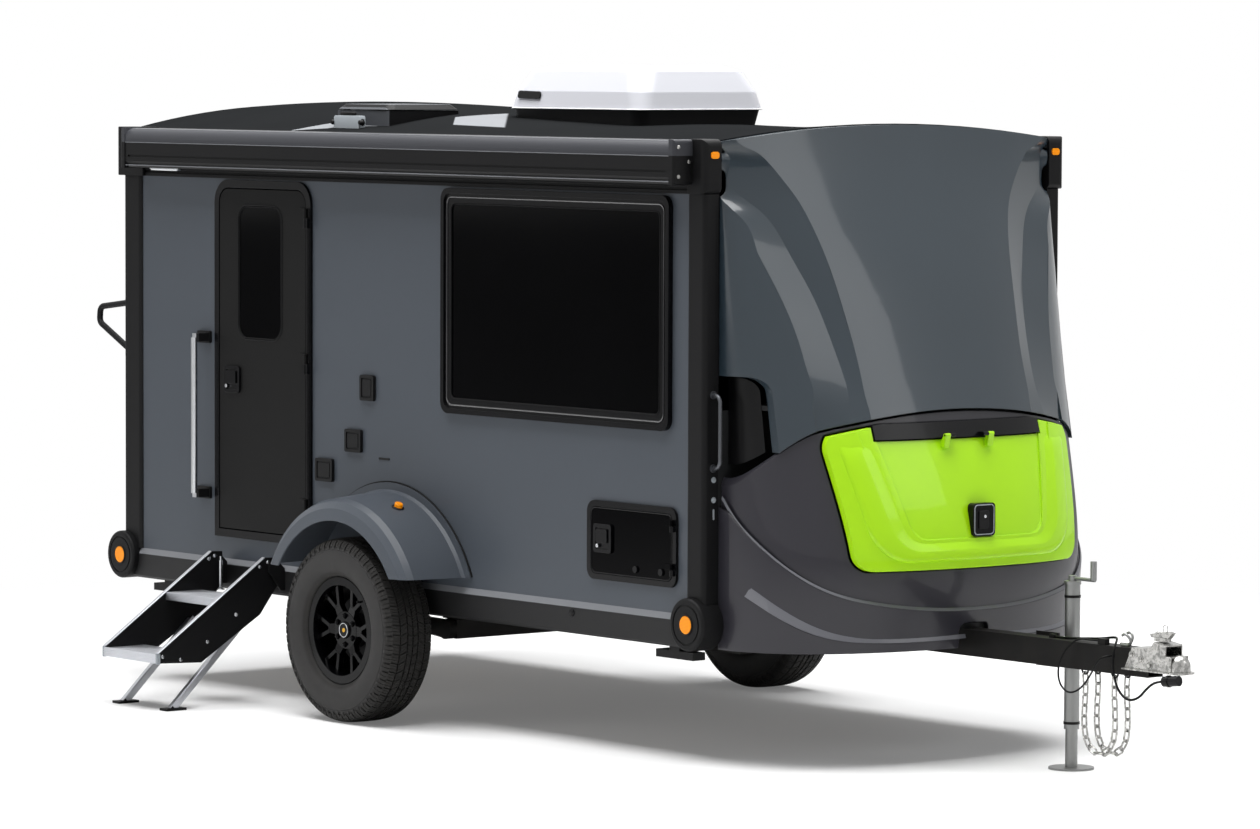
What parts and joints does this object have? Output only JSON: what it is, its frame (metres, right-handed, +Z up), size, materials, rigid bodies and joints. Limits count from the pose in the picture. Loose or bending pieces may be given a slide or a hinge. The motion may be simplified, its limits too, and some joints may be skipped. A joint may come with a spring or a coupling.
{
  "type": "compact camping trailer",
  "caption": "Small boxy camping trailer with rounded front storage nose, side door with fold-out steps, side window, awning cassette, roof air unit, fendered single axle and tow tongue.",
  "frame": {"origin": "bottom centre of the whole trailer's bounding box, on the ground", "axes": "+X forward to the coupler, +Y to the trailer's left side, +Z up"},
  "size_m": [5.7772, 2.687, 2.602],
  "materials": {
    "base_black": "black moulded base",
    "cap_grey": "glossy blue grey moulding",
    "chassis_black": "black chassis paint",
    "cord_black": "cable sheath",
    "cover_white": "white moulded cover",
    "deck_wood": "plywood and foam panel",
    "fairing_grey": "satin charcoal moulding",
    "frame_black": "satin black coated extrusion",
    "hub_iron": "cast drum",
    "lens_amber": "amber lens",
    "lens_red": "red lens",
    "lid_lime": "bright lime gloss",
    "liner_dark": "dark liner",
    "panel_grey": "satin dark grey composite panel",
    "rim_black": "gloss black cast wheel",
    "roof_grey": "dull grey roof skin on a foam core",
    "silver_trim": "bright silver",
    "tinted": "dark tinted acrylic",
    "trim_black": "black moulded trim",
    "tyre": "black tyre rubber",
    "zinc": "zinc plated steel"
  },
  "bodies": {
    "body": {"ac_base": "base_black", "ac_shroud": "cover_white", "awning_cassette": "frame_black", "axle": "chassis_black", "brake_cable": "cord_black", "chassis_frame": "chassis_black", "corner_posts": "frame_black", "coupler": "zinc", "door_frame": "frame_black", "fenders": "panel_grey", "floor_panel": "deck_wood", "front_bulkhead": "liner_dark", "grab_handle": "trim_black", "hatch_frame": "frame_black", "inlet_ports": "trim_black", "jack_bracket": "chassis_black", "lid_hinge_bar": "trim_black", "lower_corner_drums": "frame_black", "marker_lights": "lens_amber", "nose_cap": "cap_grey", "nose_decks": "liner_dark", "nose_fairing": "fairing_grey", "nose_handles": "silver_trim", "nose_pockets": "liner_dark", "rear_hoop": "frame_black", "rear_lamps": "lens_red", "rear_wall": "panel_grey", "roof_panel": "roof_grey", "roof_rails": "frame_black", "safety_chains": "zinc", "side_sills": "frame_black", "side_wall_left": "panel_grey", "side_wall_right": "panel_grey", "stabilisers": "zinc", "step_bracket": "frame_black", "tongue_beam": "chassis_black", "top_corner_caps": "frame_black", "vent_base": "base_black", "window_frames": "trim_black", "window_panes": "tinted", "wiring_cord": "cord_black", "wiring_plug": "trim_black"},
    "wheel_right": {"tyre_right": "tyre", "rim_right": "rim_black", "hub_right": "hub_iron"},
    "wheel_left": {"tyre_left": "tyre", "rim_left": "rim_black", "hub_left": "hub_iron"},
    "door": {"entry_door": "frame_black", "door_window": "tinted", "door_latch": "trim_black"},
    "lid": {"front_lid": "lid_lime", "lid_latch": "trim_black"},
    "hatch": {"side_hatch": "trim_black", "hatch_latch": "trim_black"},
    "jack": {"tongue_jack": "zinc"},
    "steps": {"entry_steps": "chassis_black"},
    "roof_vent": {"vent_lid": "base_black"}
  },
  "joints": [
    {"name": "wheel_spin_right", "type": "hinge", "parent": "body", "child": "wheel_right", "pos_m": [-0.74, -0.8815, 0.367], "axis": [0, 1, 0], "continuous": true},
    {"name": "wheel_spin_left", "type": "hinge", "parent": "body", "child": "wheel_left", "pos_m": [-0.74, 1.2185, 0.367], "axis": [0, 1, 0], "continuous": true},
    {"name": "door_swing", "type": "hinge", "parent": "body", "child": "door", "pos_m": [-1.299, -0.7395, 1.4], "axis": [0, 0, 1], "range_deg": [0, 95]},
    {"name": "lid_lift", "type": "hinge", "parent": "body", "child": "lid", "pos_m": [1.698, 0.1685, 1.232], "axis": [0, -1, 0], "range_deg": [0, 75]},
    {"name": "hatch_swing", "type": "hinge", "parent": "body", "child": "hatch", "pos_m": [1.051, -0.7385, 0.8], "axis": [0, 0, 1], "range_deg": [0, 100]},
    {"name": "jack_swing", "type": "hinge", "parent": "body", "child": "jack", "pos_m": [2.095, 0.3335, 0.456], "axis": [0, -1, 0], "range_deg": [0, 90]},
    {"name": "steps_fold", "type": "hinge", "parent": "body", "child": "steps", "pos_m": [-1.667, -0.7835, 0.56], "axis": [-1, 0, 0], "range_deg": [0, 115]},
    {"name": "vent_tilt", "type": "hinge", "parent": "body", "child": "roof_vent", "pos_m": [-1.377, -0.3615, 2.42], "axis": [0, -1, 0], "range_deg": [0, 60]}
  ]
}
